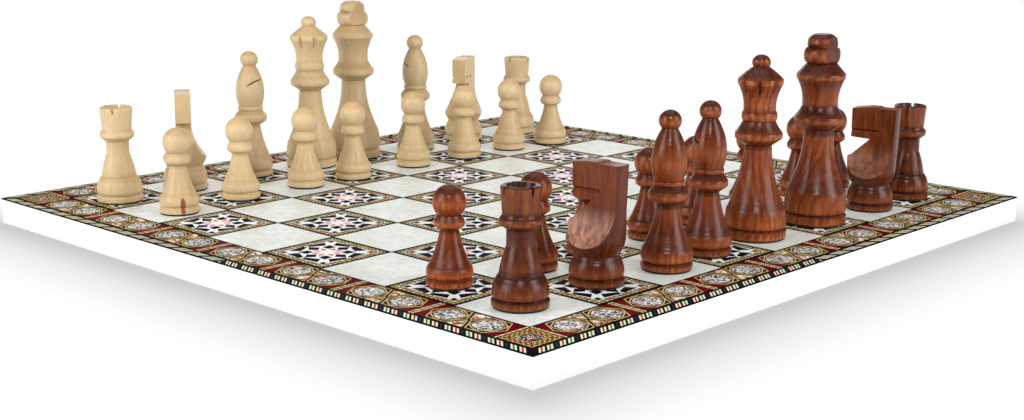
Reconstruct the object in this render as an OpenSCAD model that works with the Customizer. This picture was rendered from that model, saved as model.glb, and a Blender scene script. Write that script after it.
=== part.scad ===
// Chess set on a mosaic veneered board, with turned wooden men. Millimetres.
// The origin is under the middle of the board, +Z is up, and the dark men's edge faces -Y.

/* [Board] */
// Side of one square, from line to line
square = 40; // [36:1:50]
// Width of the black line between squares
line_w = 0.8; // [0.4:0.1:1.6]
// Thickness of the whole board
board_t = 13; // [10:0.5:20]
// Thickness of the decorative veneer layer
veneer_t = 0.6; // [0.4:0.1:1.5]
// Thickness of the backing sheet underneath
backing_t = 1; // [0.5:0.1:2]
// Width of the white lipping round the core
lipping_w = 8; // [4:0.5:12]

/* [Inlay] */
// Width of the dashed frame round a mosaic square
frame_w = 4.4; // [3:0.2:5.6]
// Tip radius of the eight-pointed star in a mosaic square
star_r = 7.4; // [5:0.2:9]
// Length of the black lozenges round that star
lozenge_l = 5.8; // [4:0.2:6.4]
// Width of those lozenges
lozenge_w = 3.9; // [2:0.1:4.6]
// Width of the medallion border
border_w = 18; // [14:0.5:24]
// Margin between a medallion and the border's edges
medallion_margin = 0.6; // [0.3:0.1:1.5]
// Width of a medallion's gold outline
outline_w = 0.8; // [0.4:0.1:1.5]
// Least room along the border between two pairs of medallions
pair_gap = 5.5; // [4:0.5:10]
// Gap between the two medallions of a pair
medallion_gap = 2; // [1:0.5:4]
// Black line between a medallion and the dark red wedges beside it
seam_w = 0.4; // [0.2:0.1:0.8]
// Black line between a medallion and the pale triangles of its pair
diagonal_w = 1.6; // [0.8:0.1:2.2]
// Width of the stripes between two pairs
stripe_w = 3.4; // [2:0.2:3.6]
// Side of the panel in a corner block
corner_panel = 10.4; // [8:0.2:12]
// Tip radius of the star in that panel
corner_star_r = 3.8; // [2.5:0.1:4.3]
// Width of the barred edging at the rim
edging_w = 6; // [4.5:0.5:10]
// Width of a bundle of three bars in the edging, along the edge
bars_w = 3.1; // [1.5:0.1:4]
// Length of edging in which two bundles repeat
bars_pitch = 11.2; // [10:0.2:16]

/* [All men] */
// Thickness of the felt disc under a man
felt_t = 0.8; // [0.4:0.1:2]
// How far the felt stays inside the foot
felt_inset = 0.7; // [0.3:0.1:2]
// Glue line between felt and foot
glue_t = 0.05; // [0.02:0.01:0.1]
// Depth of the groove above the foot's rim
groove_d = 0.7; // [0.3:0.1:1.2]
// Height of that groove
groove_h = 1.4; // [0.8:0.1:2]

/* [King] */
// Height of a king with its felt
king_h = 90; // [86:1:110]
// Radius of its foot
king_foot_r = 14.8; // [13.5:0.1:16.5]
// Radius of its stem at the thinnest
king_stem_r = 6.8; // [5.5:0.1:8]
// Radius of its collar
king_collar_r = 11.7; // [10:0.1:13]
// Radius of its crown
king_crown_r = 11.5; // [10.5:0.1:13]
// Thickness of its cross
cross_t = 11.2; // [8:0.2:13]

/* [Queen] */
// Height of a queen with its felt
queen_h = 84; // [80:1:100]
// Radius of its foot
queen_foot_r = 14.2; // [13:0.1:16]
// Radius of its stem at the thinnest
queen_stem_r = 6.1; // [5:0.1:7.5]
// Radius of its collar
queen_collar_r = 10.8; // [9.5:0.1:12]
// Radius of its crown
queen_crown_r = 10.3; // [9:0.1:12]
// Number of notches in its crown
crown_notches = 8; // [5:1:9]

/* [Bishop] */
// Height of a bishop with its felt
bishop_h = 68; // [64:1:80]
// Radius of its foot
bishop_foot_r = 11.1; // [10:0.1:13]
// Radius of its stem at the thinnest
bishop_stem_r = 4.8; // [4:0.1:6]
// Radius of its collar
bishop_collar_r = 8.6; // [7.5:0.1:9.5]
// Largest radius of its mitre
mitre_r = 7.6; // [7:0.1:9]
// Width of the slit in its mitre
slit_w = 0.8; // [0.6:0.1:2]
// Depth of that slit
slit_depth = 5; // [3:0.5:6.5]

/* [Knight] */
// Height of a knight with its felt
knight_h = 51.2; // [47:0.5:60]
// Radius of its foot
knight_foot_r = 11.6; // [10.5:0.1:13]
// Radius of its chest before the sides are cut flat
knight_chest_r = 11.8; // [11:0.1:13]
// How much wider than the chest the blank is at the top
knight_flare = 1.1; // [0.2:0.1:2]
// Thickness of its head between the side cuts
knight_head_t = 8; // [6:0.2:10]
// Radius of the sanding drum that hollows the side cuts
drum_r = 21.6; // [18:0.2:30]

/* [Rook] */
// Height of a rook with its felt
rook_h = 48; // [46:0.5:58]
// Radius of its foot
rook_foot_r = 11.5; // [10.5:0.1:13]
// Radius of its stem
rook_stem_r = 5.6; // [4.5:0.1:6.5]
// Radius of its collar
rook_collar_r = 8.5; // [7.8:0.1:9.5]
// Radius of its turret at the top
turret_r = 8; // [7:0.1:9]
// Thickness of the turret's wall
turret_wall = 2.1; // [1.5:0.1:3]
// Depth of the hollow in the turret
turret_depth = 4; // [3:0.1:6]

/* [Pawn] */
// Height of a pawn with its felt
pawn_h = 42; // [39:0.5:50]
// Radius of its foot
pawn_foot_r = 9.7; // [9:0.1:11.5]
// Radius of its stem at the thinnest
pawn_stem_r = 3.9; // [3:0.1:5]
// Radius of its collar
pawn_collar_r = 6.3; // [5.8:0.1:7.5]
// Radius of its round head
pawn_head_r = 6.9; // [6:0.1:8]

/* [Hidden] */
RANKS = 8;
EIGHTH = 45; // degrees from one tip of a star to the next
CURVE = 6; // straight steps in one bowed cut
$fn = 64;
over = 1; // how far a cutter runs past what it cuts

dark_wood = [0.42, 0.17, 0.08];
light_wood = [0.87, 0.77, 0.6];
felt_black = [0.05, 0.05, 0.05];
pearl = [0.9, 0.91, 0.87];
black = [0.07, 0.07, 0.08];
gold = [0.78, 0.62, 0.32];
red = [0.75, 0.2, 0.22];
garnet = [0.4, 0.08, 0.09];
bone = [0.93, 0.92, 0.88];
cream = [0.86, 0.74, 0.58];
white = [0.97, 0.97, 0.97];
raw_board = [0.72, 0.58, 0.4];
corner_brown = [0.5, 0.36, 0.2];
silver = [0.82, 0.8, 0.74];

lozenge_out = 1.9; // how far outside the star's tips the middle of a lozenge lies
bars_first = 3.2; // along the edge from the corner to the first bundle of bars
bars_step = 4.4; // from the first bundle of a repeat to its second
bars_out = 0.5; // black ground outside the bars
bars_in = 1.6; // black ground inside the bars

field = RANKS * square;
inner = field + line_w;
border_out = field + 2 * border_w;
board = border_out + 2 * edging_w;
veneer_z = board_t - veneer_t;
tile = square - line_w;
band_w = (border_out - inner) / 2;
band_mid = (border_out + inner) / 4;
medallion_across = band_w - 2 * medallion_margin;
medallion_along = medallion_across / cos(30);
pair_len = 2 * medallion_along + medallion_gap + pair_gap;
pairs = floor(inner / pair_len);
pair_pitch = inner / pairs;
medallion_pitch = medallion_along + medallion_gap;

// Pieces of the board

// Middle of a file or rank, which may be a share of a square off
function middle(count) = (count + 0.5) * square - field / 2;

module frame_outline(outside, width) {
    difference() {
        square(outside, center = true);
        square(outside - 2 * width, center = true);
    }
}

module on_squares(odd) {
    for (rank = [0 : RANKS - 1], file = [0 : RANKS - 1])
        if ((rank + file) % 2 == odd)
            translate([middle(file), middle(rank), veneer_z])
                linear_extrude(veneer_t)
                    children();
}

module on_corners() {
    for (side = [0 : 3])
        rotate(90 * side)
            translate([-band_mid, -band_mid, veneer_z])
                linear_extrude(veneer_t)
                    children();
}

module on_borders() {
    for (side = [0 : 3])
        rotate(90 * side)
            translate([0, -band_mid, veneer_z])
                linear_extrude(veneer_t)
                    children();
}

// Two squares, one turned by half a right angle, with no tip on an axis
module star(tip_r) {
    side = tip_r * sqrt(2);
    rotate(EIGHTH / 2)
        union() {
            square(side, center = true);
            rotate(EIGHTH)
                square(side, center = true);
        }
}

// Black lozenges between the star's tips, pointing outwards
module lozenges() {
    for (turn = [0 : EIGHTH : 360 - EIGHTH])
        rotate(turn)
            translate([star_r + lozenge_out, 0])
                polygon([[-lozenge_l / 2, 0], [0, -lozenge_w / 2], [lozenge_l / 2, 0], [0, lozenge_w / 2]]);
}

module on_pairs() {
    for (pair = [0 : pairs - 1])
        translate([(pair + 0.5) * pair_pitch - inner / 2, 0])
            children();
}

module on_medallions() {
    on_pairs()
        for (half = [-1, 1])
            translate([half * medallion_pitch / 2, 0])
                children();
}

// A medallion with its sides moved inwards
module medallion(inset = 0) {
    circle(r = medallion_along / 2 - inset / cos(30), $fn = 6);
}

// The four pieces above and below the outer tips of a pair of medallions
module pair_wedges() {
    start = medallion_pitch / 2 + medallion_along / 4;
    end = (pair_pitch - stripe_w) / 2;
    for (x = [-1, 1], y = [-1, 1])
        difference() {
            translate([x * (start + end) / 2, y * (medallion_across + seam_w) / 4])
                square([end - start, (medallion_across - seam_w) / 2], center = true);
            translate([x * medallion_pitch / 2, 0])
                medallion(-seam_w);
        }
}

// The two pieces above and below the inner tips of a pair of medallions
module pair_triangles() {
    for (y = [-1, 1])
        difference() {
            translate([0, y * (medallion_across + seam_w) / 4])
                square(
                    [medallion_pitch - medallion_along / 2, (medallion_across - seam_w) / 2], center = true
                );
            for (half = [-1, 1])
                translate([half * medallion_pitch / 2, 0])
                    medallion(-diagonal_w);
        }
}

// Slanted bundles of bars along the front edge, leaning towards its middle from both ends
module bars() {
    bars_h = edging_w - bars_out - bars_in;
    for (half = [0, 1])
        mirror([half, 0])
            translate([-board / 2, -board / 2 + bars_out])
                intersection() {
                    square([board / 2, bars_h]);
                    for (start = [bars_first : bars_pitch : board / 2], step = [0, bars_step])
                        translate([start + step + bars_out, 0])
                            polygon([[0, 0], [bars_w, 0], [bars_w + bars_h, bars_h], [bars_h, bars_h]]);
                }
}

// A strip along the front edge, mitred at both ends
module side_strip(out_half, width) {
    in_half = out_half - width;
    polygon([[-out_half, -out_half], [out_half, -out_half], [in_half, -in_half], [-in_half, -in_half]]);
}

module core_panel() {
    color(raw_board)
        translate([0, 0, backing_t])
            linear_extrude(veneer_z - backing_t)
                square(board - 2 * lipping_w, center = true);
}

module backing_sheet() {
    color(black)
        linear_extrude(backing_t)
            square(board - 2 * lipping_w, center = true);
}

module lipping(side) {
    color(white)
        rotate(90 * side)
            linear_extrude(veneer_z)
                side_strip(board / 2, lipping_w);
}

module black_lines() {
    color(black)
        translate([0, 0, veneer_z])
            linear_extrude(veneer_t)
                difference() {
                    square(inner, center = true);
                    for (rank = [0 : RANKS - 1], file = [0 : RANKS - 1])
                        translate([middle(file), middle(rank)])
                            square(tile, center = true);
                }
}

module light_squares() {
    color(pearl)
        on_squares(0)
            square(tile, center = true);
}

module square_frames() {
    color(gold)
        on_squares(1)
            frame_outline(tile, frame_w);
}

module mosaic_panels() {
    color(bone)
        on_squares(1)
            difference() {
                square(tile - 2 * frame_w, center = true);
                star(star_r);
                lozenges();
            }
}

module star_inlays() {
    color(red) {
        on_squares(1)
            star(star_r);
        on_corners()
            star(corner_star_r);
    }
}

module star_lozenges() {
    color(black)
        on_squares(1)
            lozenges();
}

module border(side) {
    color(black)
        rotate(90 * side)
            translate([0, -band_mid, veneer_z])
                linear_extrude(veneer_t)
                    difference() {
                        square([inner, band_w], center = true);
                        on_medallions()
                            medallion();
                        on_pairs() {
                            pair_wedges();
                            pair_triangles();
                        }
                    }
}

module medallion_rings() {
    color(gold)
        on_borders()
            on_medallions()
                difference() {
                    medallion();
                    medallion(outline_w);
                }
}

module medallions() {
    color(silver)
        on_borders()
            on_medallions()
                medallion(outline_w);
}

module border_wedges() {
    color(garnet)
        on_borders()
            on_pairs()
                pair_wedges();
}

module border_triangles() {
    color(cream)
        on_borders()
            on_pairs()
                pair_triangles();
}

module corner_blocks() {
    color(corner_brown)
        on_corners()
            frame_outline(band_w, (band_w - corner_panel) / 2);
}

module corner_panels() {
    color(bone)
        on_corners()
            difference() {
                square(corner_panel, center = true);
                star(corner_star_r);
            }
}

module edging(side) {
    color(black)
        rotate(90 * side)
            translate([0, 0, veneer_z])
                linear_extrude(veneer_t)
                    difference() {
                        side_strip(board / 2, edging_w);
                        bars();
                    }
}

module edging_bars() {
    color(bone)
        for (side = [0 : 3])
            rotate(90 * side)
                translate([0, 0, veneer_z])
                    linear_extrude(veneer_t)
                        bars();
}

// Turning. A cut is [rise, radius it ends at, how far it bows outwards], with a fourth value of 1 for a full
// round bead. A turning is a list of cuts from the foot upwards.

function rise(cuts, count) = count <= 0 ? 0 : cuts[count - 1][0] + rise(cuts, count - 1);

function total(cuts) = rise(cuts, len(cuts));

function cut_points(cut, r, z) =
    let (steps = cut[2] == 0 ? 1 : CURVE)
    [for (i = [1 : steps])
        let (turn = 180 * i / steps)
        let (along = cut[3] == 1 ? (1 - cos(turn)) / 2 : i / steps)
        [r + (cut[1] - r) * along + cut[2] * sin(turn), z + cut[0] * along]];

function turned(cuts) =
    concat(
        [[0, 0], [cuts[0][1] - rim_round, 0]],
        [for (i = [0 : len(cuts) - 1])
            each cut_points(cuts[i], i == 0 ? cuts[0][1] - rim_round : cuts[i - 1][1], rise(cuts, i))]
    );

// A ball of radius r and height h that sits on a neck, as points above height z
function ball(neck, r, h, z) =
    let (low = asin(neck / r))
    let (half = h / (1 + cos(low)))
    let (steps = 2 * CURVE)
    [for (i = [1 : steps])
        let (turn = low + (180 - low) * i / steps)
        [i == steps ? 0 : r * sin(turn), z + half * (cos(low) - cos(turn))]];

// A slope out to a bead of radius r, and the bead
function bead(slope, r, h, bow) = [[slope, r - bow, 0], [h, r - bow, bow, 1]];

// The cuts with a stem between them that takes up the height that is left
function with_stem(lower, stem_r, bow, upper, height) =
    concat(lower, [[height - total(lower) - total(upper), stem_r, bow]], upper);

// Every foot has a rim, a groove and a drum
rim_round = 0.5;
drum_bow = 0.7;

function foot(r, rim, drum, top_r) = [
    [rim_round, r, 0],
    [rim - 2 * rim_round, r, 0],
    [rim_round, r - rim_round, 0],
    [groove_h / 2, r - rim_round - groove_d, 0],
    [groove_h / 2, r - rim_round, 0],
    [drum, top_r, drum_bow, 1]
];

module turning(points) {
    rotate_extrude()
        polygon(points);
}

// King: crown with a cross cut out of a turned finial
king_rim = 4;
king_drum = 10.7;
king_drum_r = 13.4;
king_stem_bow = 1.7;
king_collar_slope = 3.2;
king_collar_h = 3.6;
king_collar_bow = 0.6;
king_neck_h = 4.4;
king_neck_out = 1.6; // how much thicker than the stem the neck over the collar is
king_neck_bow = 0.3;
king_crown_h = 12.8;
king_crown_bow = 1;
king_edge_h = 2.8;
king_edge_bow = 0.5;
king_roof_h = 4.8;
finial_r = 6.9;
lobe_h = 7.2;
lobe_bow = 2;
knob_h = 3.7;
knob_r = 6.7;
knob_bow = 0.25;
knob_round_h = 2.4;
knob_round_bow = 0.6;
knob_top_r = 3.9;
cross_rise = 0.4; // how far above the crown the cross's flat faces start
notch_side = 2.4;
notch_out = 0.2; // how far outside the finial a notch's middle lies

king_under = concat(
    bead(king_collar_slope, king_collar_r, king_collar_h, king_collar_bow),
    [[king_neck_h, king_stem_r + king_neck_out, -king_neck_bow]]
);
king_crown = [
    [king_crown_h, king_crown_r - king_edge_bow, -king_crown_bow],
    [king_edge_h, king_crown_r - king_edge_bow, king_edge_bow, 1],
    [king_roof_h, finial_r, 0]
];
king_finial = [
    [lobe_h, finial_r, lobe_bow, 1],
    [knob_h, knob_r, knob_bow],
    [knob_round_h, knob_top_r, knob_round_bow, 1]
];
king_top = concat(king_under, king_crown, king_finial);
king_cuts = with_stem(
    foot(king_foot_r, king_rim, king_drum, king_drum_r), king_stem_r, -king_stem_bow, king_top,
    king_h - felt_t
);

module king_body() {
    finial_z = king_h - felt_t - total(king_finial);
    reach = 2 * (finial_r + lobe_bow);
    difference() {
        turning(concat(turned(king_cuts), [[0, king_h - felt_t]]));
        // Flat faces of the cross
        for (face = [-1, 1])
            translate([-reach / 2, face > 0 ? cross_t / 2 : -cross_t / 2 - reach, finial_z + cross_rise])
                cube([reach, reach, total(king_finial) + over]);
        // Notches between its arms and its top
        for (arm = [-1, 1])
            translate([arm * (finial_r + notch_out), 0, finial_z + lobe_h])
                rotate([90, 45, 0])
                    cube([notch_side, notch_side, reach], center = true);
    }
}

// Queen: crown with notches in its rim and a low ball on top
queen_rim = 3.7;
queen_drum = 9;
queen_drum_r = 12.7;
queen_stem_bow = 1.5;
queen_collar_slope = 3;
queen_collar_h = 3.2;
queen_collar_bow = 0.5;
queen_neck_h = 5;
queen_neck_out = 1.2; // how much thicker than the stem the neck over the collar is
queen_neck_bow = 0.2;
queen_ring_h = 4.4;
queen_ring_bow = 0.8;
queen_crown_h = 12;
queen_crown_bow = 0.9;
queen_edge_h = 2.8;
queen_edge_bow = 0.4;
queen_dome_h = 5.2;
queen_dome_bow = 0.3;
queen_ball_r = 4.2;
queen_ball_neck = 3.6;
queen_ball_h = 5.4;
crown_file = 1.8;
crown_tilt = 14;
crown_cut = 10;

queen_under = concat(
    bead(queen_collar_slope, queen_collar_r, queen_collar_h, queen_collar_bow),
    [
        [queen_neck_h, queen_stem_r + queen_neck_out, -queen_neck_bow],
        [queen_ring_h, queen_stem_r + queen_neck_out, queen_ring_bow, 1]
    ]
);
queen_crown = [
    [queen_crown_h, queen_crown_r - queen_edge_bow, -queen_crown_bow],
    [queen_edge_h, queen_crown_r - queen_edge_bow, queen_edge_bow, 1],
    [queen_dome_h, queen_ball_neck, queen_dome_bow]
];
queen_top = concat(queen_under, queen_crown);
queen_cuts = with_stem(
    foot(queen_foot_r, queen_rim, queen_drum, queen_drum_r), queen_stem_r, -queen_stem_bow, queen_top,
    queen_h - felt_t - queen_ball_h
);

module queen_body() {
    head_z = queen_h - felt_t - queen_ball_h;
    edge_z = head_z - queen_dome_h - queen_edge_h / 2;
    difference() {
        turning(concat(turned(queen_cuts), ball(queen_ball_neck, queen_ball_r, queen_ball_h, head_z)));
        // File cuts down the crown's edge
        for (i = [0 : crown_notches - 1])
            rotate(360 / crown_notches * (i + 0.5))
                translate([queen_crown_r, 0, edge_z])
                    rotate([0, crown_tilt, 0])
                        rotate(45)
                            cube([crown_file, crown_file, crown_cut], center = true);
    }
}

// Bishop: mitre with a slanting slit and a ball on top
bishop_rim = 2.3;
bishop_drum = 5.6;
bishop_drum_r = 10;
bishop_stem_bow = 0.7;
bishop_collar_slope = 2.2;
bishop_collar_h = 3.6;
bishop_collar_bow = 0.6;
bishop_neck_h = 2.2;
bishop_neck_out = 1.4; // how much thicker than the stem the neck over the collar is
bishop_ring_h = 2.4;
bishop_ring_bow = 0.5;
mitre_low = 8.5;
mitre_low_bow = 0.4;
mitre_up = 13.2;
mitre_up_bow = 0.9;
bishop_ball_r = 4.8;
bishop_ball_neck = 3.4;
bishop_ball_h = 7.8;
slit_tilt = 33;
slit_rise = 1.2; // height above the mitre's widest place at which the slit's line meets the axis

bishop_under = concat(
    bead(bishop_collar_slope, bishop_collar_r, bishop_collar_h, bishop_collar_bow),
    [
        [bishop_neck_h, bishop_stem_r + bishop_neck_out, 0],
        [bishop_ring_h, bishop_stem_r + bishop_neck_out, bishop_ring_bow, 1]
    ]
);
bishop_mitre = [
    [mitre_low, mitre_r, mitre_low_bow],
    [mitre_up, bishop_ball_neck, mitre_up_bow]
];
bishop_top = concat(bishop_under, bishop_mitre);
bishop_cuts = with_stem(
    foot(bishop_foot_r, bishop_rim, bishop_drum, bishop_drum_r), bishop_stem_r, -bishop_stem_bow, bishop_top,
    bishop_h - felt_t - bishop_ball_h
);

module bishop_body() {
    head_z = bishop_h - felt_t - bishop_ball_h;
    difference() {
        turning(concat(turned(bishop_cuts), ball(bishop_ball_neck, bishop_ball_r, bishop_ball_h, head_z)));
        // Saw cut in from one side
        translate([0, 0, head_z - mitre_up + slit_rise])
            rotate([0, -slit_tilt, 0])
                translate([mitre_r - slit_depth, -mitre_r - over, 0])
                    cube([2 * mitre_r, 2 * (mitre_r + over), slit_w]);
    }
}

// Rook: hollow turret with four saw cuts
rook_rim = 2.6;
rook_drum = 6.8;
rook_drum_r = 9.6;
rook_land_h = 1;
rook_land_in = 0.4; // how much the drum draws in on its top
rook_step_h = 0.4;
rook_step_in = 1; // how far inside the drum's top the body starts
rook_body_h = 11.6;
rook_body_bow = 0.35;
rook_collar_slope = 1.8;
rook_collar_h = 3;
rook_collar_bow = 0.7;
rook_neck_h = 1.2;
turret_wall_h = 10.4;
turret_flare = 0.8; // how much wider than its waist the turret is at the top
turret_round = 0.8;
turret_round_bow = 0.25;
crenel_w = 1.9;
crenel_floor_w = 0.8;
crenel_depth = 2.8;
hollow_taper = 1.3;

rook_lower = concat(foot(rook_foot_r, rook_rim, rook_drum, rook_drum_r), [
    [rook_land_h, rook_drum_r - rook_land_in, 0],
    [rook_step_h, rook_drum_r - rook_step_in, 0],
    [rook_body_h, rook_stem_r, rook_body_bow]
]);
rook_top = concat(bead(rook_collar_slope, rook_collar_r, rook_collar_h, rook_collar_bow), [
    [rook_neck_h, turret_r - turret_flare, 0],
    [turret_wall_h, turret_r, 0],
    [turret_round, turret_r - turret_round, turret_round_bow]
]);
rook_cuts = with_stem(rook_lower, rook_stem_r, 0, rook_top, rook_h - felt_t);

module rook_body() {
    top = rook_h - felt_t;
    hollow_r = turret_r - turret_wall;
    difference() {
        turning(concat(turned(rook_cuts), [[0, top]]));
        translate([0, 0, top - turret_depth])
            cylinder(r1 = hollow_r - hollow_taper, r2 = hollow_r, h = turret_depth + over / 2);
        for (turn = [0, 90])
            rotate(turn)
                translate([0, 0, top - crenel_depth])
                    rotate([90, 0, 90])
                        linear_extrude(2 * (turret_r + over), center = true)
                            polygon([
                                [-crenel_floor_w / 2, 0], [crenel_floor_w / 2, 0],
                                [crenel_w / 2, crenel_depth + over], [-crenel_w / 2, crenel_depth + over]
                            ]);
    }
}

// Pawn: round head on a collar
pawn_rim = 2.4;
pawn_drum = 4.4;
pawn_drum_r = 8.6;
pawn_stem_bow = 0.6;
pawn_collar_slope = 1.6;
pawn_collar_h = 2.6;
pawn_collar_bow = 0.3;
pawn_neck_h = 2;
pawn_neck_r = 4.9;
pawn_ball_h = 12.3;

pawn_top = concat(
    bead(pawn_collar_slope, pawn_collar_r, pawn_collar_h, pawn_collar_bow),
    [[pawn_neck_h, pawn_neck_r, 0]]
);
pawn_cuts = with_stem(
    foot(pawn_foot_r, pawn_rim, pawn_drum, pawn_drum_r), pawn_stem_r, -pawn_stem_bow, pawn_top,
    pawn_h - felt_t - pawn_ball_h
);

module pawn_body() {
    head_z = pawn_h - felt_t - pawn_ball_h;
    turning(concat(turned(pawn_cuts), ball(pawn_neck_r, pawn_head_r, pawn_ball_h, head_z)));
}

// Knight: a round blank, cut flat on both sides and sawn to a horse's head that looks along +Y
knight_rim = 2.2;
knight_drum = 6.8;
knight_drum_r = 9.7;
knight_waist_h = 1.6;
knight_waist_r = 9.2;
chest_rise = 8;
chest_bow = 0.7;
side_cut_z = 32.2; // the flat sides end here and the drum's hollow starts
muzzle_front = 9.8;
muzzle_z = 35.5;
throat_y = 0.3;
throat_z = 34.7;
chest_y = 10.6;
chest_z = 25.2;
mouth_z = 38.6;
mouth_back = -4;
mouth_side = 1.3;
brow_drop = 1.6;
brow_y = 2.4;
poll_drop = 0.5;
poll_y = -2.6;
poll_run = 1;
flat_skim = 0.01; // what the saw takes off where its cut ends in a flat face

knight_top_r = knight_chest_r + knight_flare;
knight_out = knight_top_r + over;

knight_blank = concat(foot(knight_foot_r, knight_rim, knight_drum, knight_drum_r), [
    [knight_waist_h, knight_waist_r, 0],
    [chest_rise, knight_chest_r, chest_bow]
]);

module knight_sides() {
    // Each side cut is flat above and follows the sanding drum below
    for (face = [0, 180])
        rotate(face) {
            translate([knight_head_t / 2, -knight_out, side_cut_z])
                cube([knight_out, 2 * knight_out, knight_h]);
            translate([knight_head_t / 2 + drum_r, 0, side_cut_z])
                rotate([90, 0, 0])
                    cylinder(r = drum_r, h = 2 * knight_out, center = true);
        }
}

// Cuts an outline of [y, z] points right through from side to side
module sawn(points) {
    rotate([90, 0, 90])
        linear_extrude(2 * knight_out, center = true)
            polygon(points);
}

module knight_body() {
    top = knight_h - felt_t;
    out = knight_out;
    difference() {
        turning(concat(turned(knight_blank), [[knight_top_r, top], [0, top]]));
        knight_sides();
        // Space between muzzle and chest
        sawn([[out, muzzle_z], [throat_y, throat_z], [chest_y, chest_z], [out, chest_z]]);
        // Front of the head
        sawn([
            [muzzle_front, muzzle_z - over], [out, muzzle_z - over],
            [out, top + over], [muzzle_front, top + over]
        ]);
        // Brow and poll
        sawn([
            [out, top - brow_drop], [brow_y, top - flat_skim], [poll_y, top - flat_skim],
            [poll_y - poll_run, top - poll_drop], [-out, top - poll_drop],
            [-out, top + over], [out, top + over]
        ]);
        // Mouth, a groove on each side of the muzzle
        for (face = [-1, 1])
            translate([face * knight_head_t / 2, (out + mouth_back) / 2, mouth_z])
                rotate([0, 45, 0])
                    cube([mouth_side, out - mouth_back, mouth_side], center = true);
    }
}

// The men stand where the photograph shows them: [name, kind, file, rank, offset x, offset y, turn].
// Files run along +X and ranks along +Y. The offsets are shares of a square, from its middle.
DARK_MEN = [
    ["dark_rook_1", "rook", 0, 0, -0.06, 0.03, 78],
    ["dark_knight_1", "knight", 1, 0, 0.08, 0.04, 4],
    ["dark_bishop_1", "bishop", 2, 0, 0.055, -0.1, 60],
    ["dark_bishop_2", "bishop", 3, 0, -0.125, -0.01, 100],
    ["dark_queen", "queen", 4, 0, -0.1, 0.06, 10],
    ["dark_king", "king", 5, 0, 0.02, -0.02, 0],
    ["dark_knight_2", "knight", 6, 0, 0.15, -0.09, 12],
    ["dark_rook_2", "rook", 7, 0, 0.055, -0.075, 20],
    ["dark_pawn_1", "pawn", 0, 1, -0.02, 0.05, 0],
    ["dark_pawn_2", "pawn", 1, 1, 0.08, -0.11, 0],
    ["dark_pawn_3", "pawn", 2, 1, 0, -0.04, 0],
    ["dark_pawn_4", "pawn", 3, 1, 0.02, -0.08, 0],
    ["dark_pawn_5", "pawn", 4, 1, 0, 0, 0],
    ["dark_pawn_6", "pawn", 5, 1, 0.1, 0, 0],
    ["dark_pawn_7", "pawn", 6, 1, 0.2, 0, 0],
    ["dark_pawn_8", "pawn", 7, 1, 0, 0, 0]
];
LIGHT_MEN = [
    ["light_rook_1", "rook", 0, 7, -0.13, -0.11, 45],
    ["light_knight_1", "knight", 1, 7, -0.115, -0.07, 146],
    ["light_bishop_1", "bishop", 2, 7, 0.035, 0.02, -67],
    ["light_queen", "queen", 3, 7, 0.05, -0.005, 0],
    ["light_king", "king", 4, 7, -0.08, 0.08, 0],
    ["light_bishop_2", "bishop", 5, 7, -0.02, -0.08, 120],
    ["light_knight_2", "knight", 6, 7, 0.03, -0.03, 119],
    ["light_rook_2", "rook", 7, 7, 0.09, -0.16, 10],
    ["light_pawn_1", "pawn", 0, 6, 0.01, -0.2, 0],
    ["light_pawn_2", "pawn", 1, 6, 0.025, -0.075, 0],
    ["light_pawn_3", "pawn", 2, 6, 0.09, -0.06, 0],
    ["light_pawn_4", "pawn", 3, 6, -0.13, -0.11, 0],
    ["light_pawn_5", "pawn", 4, 6, 0.06, -0.02, 0],
    ["light_pawn_6", "pawn", 5, 6, 0.01, -0.08, 0],
    ["light_pawn_7", "pawn", 6, 6, -0.03, -0.06, 0],
    ["light_pawn_8", "pawn", 7, 6, -0.25, -0.19, 0]
];

function foot_radius(kind) =
    kind == "king" ? king_foot_r :
    kind == "queen" ? queen_foot_r :
    kind == "bishop" ? bishop_foot_r :
    kind == "knight" ? knight_foot_r :
    kind == "rook" ? rook_foot_r : pawn_foot_r;

module man_body(kind) {
    if (kind == "king") king_body();
    if (kind == "queen") queen_body();
    if (kind == "bishop") bishop_body();
    if (kind == "knight") knight_body();
    if (kind == "rook") rook_body();
    if (kind == "pawn") pawn_body();
}

// A man on its square, with the felt disc under its foot
module chessman(man, wood) {
    translate([middle(man[2] + man[4]), middle(man[3] + man[5]), board_t])
        rotate(man[6]) {
            color(felt_black)
                cylinder(r = foot_radius(man[1]) - felt_inset, h = felt_t - glue_t);
            translate([0, 0, felt_t])
                color(wood)
                    man_body(man[1]);
        }
}

SIDES = ["front", "right", "back", "left"];
BOARD_NODES = [
    "core_panel", "backing_sheet", "black_lines", "light_squares", "square_frames", "mosaic_panels",
    "star_inlays", "star_lozenges", "medallions", "medallion_rings", "border_wedges", "border_triangles",
    "corner_blocks", "corner_panels", "edging_bars"
];

core_panel();
backing_sheet();
black_lines();
light_squares();
square_frames();
mosaic_panels();
star_inlays();
star_lozenges();
medallions();
medallion_rings();
border_wedges();
border_triangles();
corner_blocks();
corner_panels();
edging_bars();
for (side = [0 : 3]) {
    lipping(side);
    border(side);
    edging(side);
}
for (man = DARK_MEN) chessman(man, dark_wood);
for (man = LIGHT_MEN) chessman(man, light_wood);
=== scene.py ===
"""A chess set on a mosaic board: the finish of every surface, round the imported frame."""

import math
import random
from contextlib import contextmanager

import bmesh
import bpy
import numpy as np
from bpy.props import FloatProperty, FloatVectorProperty, IntProperty, PointerProperty
from mathutils import Matrix, Vector


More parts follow.
